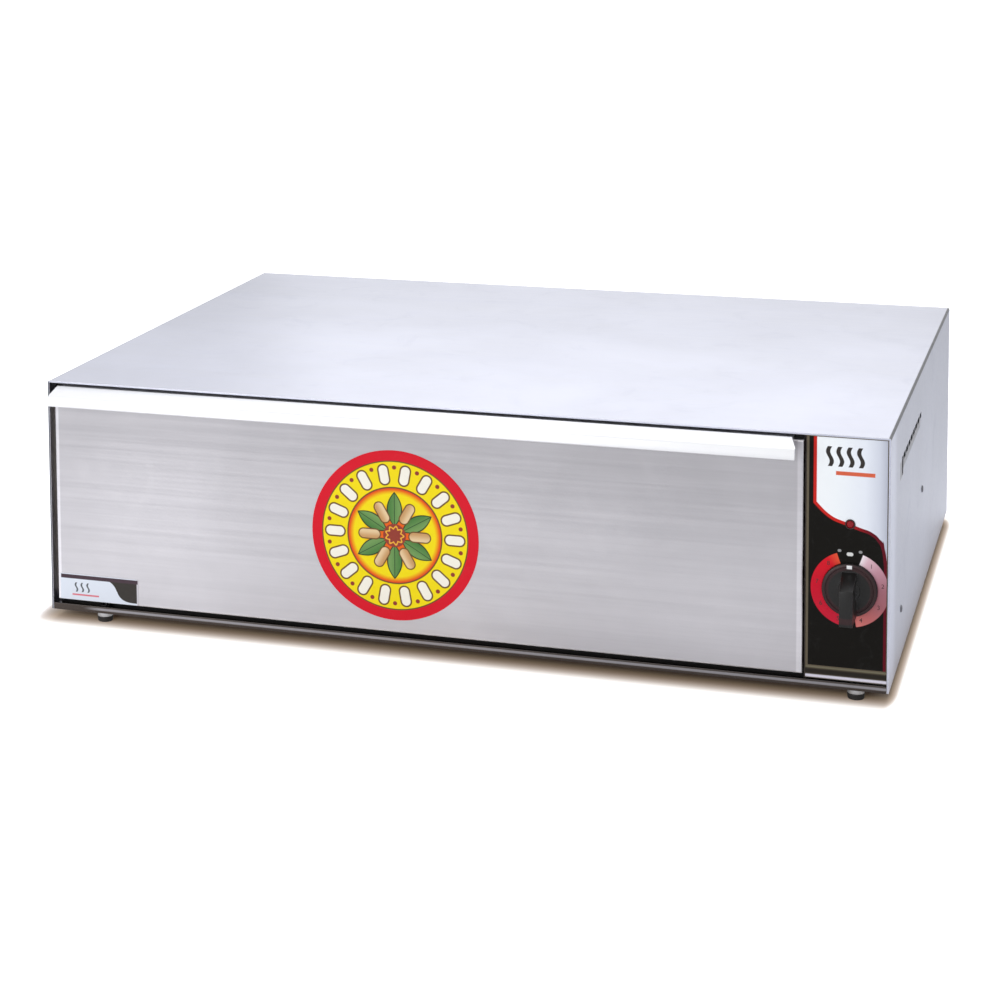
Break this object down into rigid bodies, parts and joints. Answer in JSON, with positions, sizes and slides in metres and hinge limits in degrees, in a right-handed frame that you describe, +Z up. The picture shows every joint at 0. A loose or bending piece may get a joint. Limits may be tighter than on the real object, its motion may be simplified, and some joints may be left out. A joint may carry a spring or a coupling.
{
  "type": "hot dog bun warmer",
  "caption": "Low, wide countertop warmer with a full-width pull-out drawer, a formed pull lip and a side control panel with a turning knob.",
  "frame": {"origin": "under the middle of the whole warmer, on the surface that its feet stand on", "axes": "+X to the right seen from the front, +Y to the back, +Z up"},
  "size_m": [0.9082, 0.749, 0.269],
  "materials": {
    "satin_steel": "satin",
    "front_steel": "satin",
    "handle_steel": "satin",
    "base_steel": "satin",
    "frame_black": "satin",
    "liner_steel": "satin",
    "pan_steel": "satin",
    "fibre_blanket": "matte",
    "element_sheath": "matte",
    "zinc_steel": "satin",
    "slide_steel": "satin",
    "overlay_print": "satin",
    "pilot_bezel": "satin",
    "pilot_lens": "gloss",
    "thermostat_case": "matte",
    "copper_tube": "satin",
    "terminal_plastic": "matte",
    "wire_sleeve": "matte",
    "gland_plastic": "satin",
    "foot_rubber": "matte",
    "gasket_silicone": "matte",
    "decal_print": "satin",
    "label_print": "satin",
    "knob_plastic": "satin",
    "mark_white": "satin",
    "shaft_steel": "satin"
  },
  "bodies": {
    "cabinet": {"outer_wrapper": "satin_steel", "back_panel": "satin_steel", "base_pan": "base_steel", "face_frame": "frame_black", "divider_panel": "base_steel", "cavity_liner": "liner_steel", "liner_back_wall": "liner_steel", "liner_floor": "liner_steel", "insulation_top": "fibre_blanket", "insulation_sides": "fibre_blanket", "insulation_rear": "fibre_blanket", "insulation_floor": "fibre_blanket", "heating_element": "element_sheath", "element_clips": "zinc_steel", "element_guard": "liner_steel", "control_panel_plate": "base_steel", "control_overlay": "overlay_print", "pilot_light_housing": "pilot_bezel", "pilot_light_lens": "pilot_lens", "thermostat_body": "thermostat_case", "thermostat_capillary": "copper_tube", "bulb_clips": "zinc_steel", "hi_limit_switch": "thermostat_case", "terminal_block": "terminal_plastic", "wiring_harness": "wire_sleeve", "cord_gland": "gland_plastic", "cord_gland_locknut": "gland_plastic", "side_vent_baffle": "base_steel", "side_screws": "zinc_steel", "back_screws": "zinc_steel", "foot_studs": "zinc_steel", "foot_nuts": "zinc_steel", "slide_outer_left": "slide_steel", "slide_outer_right": "slide_steel", "rubber_feet": "foot_rubber"},
    "drawer": {"drawer_front_skin": "front_steel", "drawer_front_back_plate": "liner_steel", "drawer_front_insulation": "fibre_blanket", "drawer_handle": "handle_steel", "drawer_gasket": "gasket_silicone", "drawer_pan": "pan_steel", "drawer_pan_front_wall": "pan_steel", "drawer_pan_rear_wall": "pan_steel", "bun_rack": "pan_steel", "water_pan": "pan_steel", "round_decal": "decal_print", "corner_label": "label_print", "drawer_screws": "zinc_steel", "slide_inner_left": "slide_steel", "slide_inner_right": "slide_steel"},
    "thermostat_knob": {"knob_body": "knob_plastic", "knob_pointer_mark": "mark_white", "thermostat_shaft": "shaft_steel"},
    "middle_slide_left": {"slide_middle_left": "slide_steel"},
    "outer_cage_left": {"ball_cage_outer_left": "slide_steel"},
    "inner_cage_left": {"ball_cage_inner_left": "slide_steel"},
    "middle_slide_right": {"slide_middle_right": "slide_steel"},
    "outer_cage_right": {"ball_cage_outer_right": "slide_steel"},
    "inner_cage_right": {"ball_cage_inner_right": "slide_steel"}
  },
  "joints": [
    {"name": "drawer_slide", "type": "slide", "parent": "cabinet", "child": "drawer", "axis": [0, -1, 0], "range_m": [0, 0.56]},
    {"name": "middle_slide_left_slide", "type": "slide", "parent": "cabinet", "child": "middle_slide_left", "axis": [0, -1, 0], "range_m": [0, 0.28]},
    {"name": "outer_cage_left_slide", "type": "slide", "parent": "cabinet", "child": "outer_cage_left", "axis": [0, -1, 0], "range_m": [0, 0.14]},
    {"name": "inner_cage_left_slide", "type": "slide", "parent": "cabinet", "child": "inner_cage_left", "axis": [0, -1, 0], "range_m": [0, 0.42]},
    {"name": "middle_slide_right_slide", "type": "slide", "parent": "cabinet", "child": "middle_slide_right", "axis": [0, -1, 0], "range_m": [0, 0.28]},
    {"name": "outer_cage_right_slide", "type": "slide", "parent": "cabinet", "child": "outer_cage_right", "axis": [0, -1, 0], "range_m": [0, 0.14]},
    {"name": "inner_cage_right_slide", "type": "slide", "parent": "cabinet", "child": "inner_cage_right", "axis": [0, -1, 0], "range_m": [0, 0.42]},
    {"name": "knob_turn", "type": "hinge", "parent": "cabinet", "child": "thermostat_knob", "pos_m": [0.4138, -0.3385, 0.114], "axis": [0, 1, 0], "range_deg": [0, 300]}
  ],
  "couplings": [
    {"joint": "middle_slide_left_slide", "follows": "drawer_slide", "ratio": 0.5},
    {"joint": "outer_cage_left_slide", "follows": "drawer_slide", "ratio": 0.25},
    {"joint": "inner_cage_left_slide", "follows": "drawer_slide", "ratio": 0.75},
    {"joint": "middle_slide_right_slide", "follows": "drawer_slide", "ratio": 0.5},
    {"joint": "outer_cage_right_slide", "follows": "drawer_slide", "ratio": 0.25},
    {"joint": "inner_cage_right_slide", "follows": "drawer_slide", "ratio": 0.75}
  ]
}
